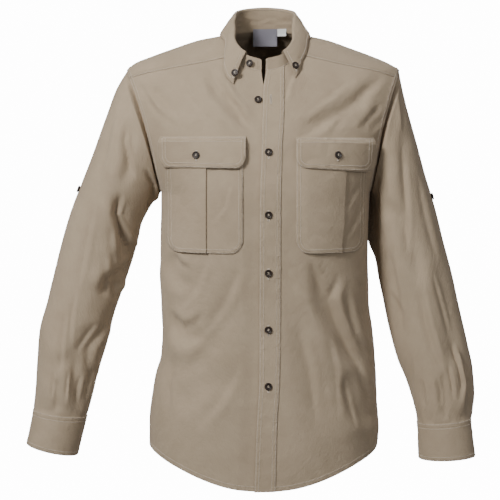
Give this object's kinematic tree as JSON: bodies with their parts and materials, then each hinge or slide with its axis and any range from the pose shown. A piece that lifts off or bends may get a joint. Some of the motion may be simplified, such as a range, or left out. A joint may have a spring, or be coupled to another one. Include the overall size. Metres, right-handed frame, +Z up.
{
  "type": "safari shirt",
  "caption": "Man's long-sleeved safari shirt, filled out as worn: button-down collar, front band, yoke, flapped chest pockets, cuffs and curved hem.",
  "frame": {"origin": "at the base of the neck, midway between the two points where the shoulder lines meet the collar", "axes": "+Z up along the body, the front faces -Y, and +X is the wearer's left"},
  "size_m": [0.7682, 0.2615, 0.8323],
  "materials": {
    "khaki_cotton": "matte twill",
    "dark_horn": "semi-gloss",
    "grey_label": "satin",
    "white_label": "satin"
  },
  "bodies": {
    "root": {"front_right": "khaki_cotton", "front_left": "khaki_cotton", "back": "khaki_cotton", "yoke": "khaki_cotton", "sleeve_right": "khaki_cotton", "sleeve_left": "khaki_cotton", "cuff_right": "khaki_cotton", "cuff_left": "khaki_cotton", "collar_stand": "khaki_cotton", "collar_leaf": "khaki_cotton", "front_band": "khaki_cotton", "pocket_right": "khaki_cotton", "pocket_left": "khaki_cotton", "flap_right": "khaki_cotton", "flap_left": "khaki_cotton", "sleeve_placket_right": "khaki_cotton", "sleeve_placket_left": "khaki_cotton", "front_button_1": "dark_horn", "front_button_2": "dark_horn", "front_button_3": "dark_horn", "front_button_4": "dark_horn", "front_button_5": "dark_horn", "free_front_button": "dark_horn", "stand_button": "dark_horn", "collar_button_right": "dark_horn", "collar_button_left": "dark_horn", "flap_button_right": "dark_horn", "flap_button_left": "dark_horn", "tab_button_right": "dark_horn", "tab_button_left": "dark_horn", "cuff_button_right": "dark_horn", "cuff_button_left": "dark_horn", "neck_label": "grey_label", "size_label": "white_label"}
  },
  "joints": []
}
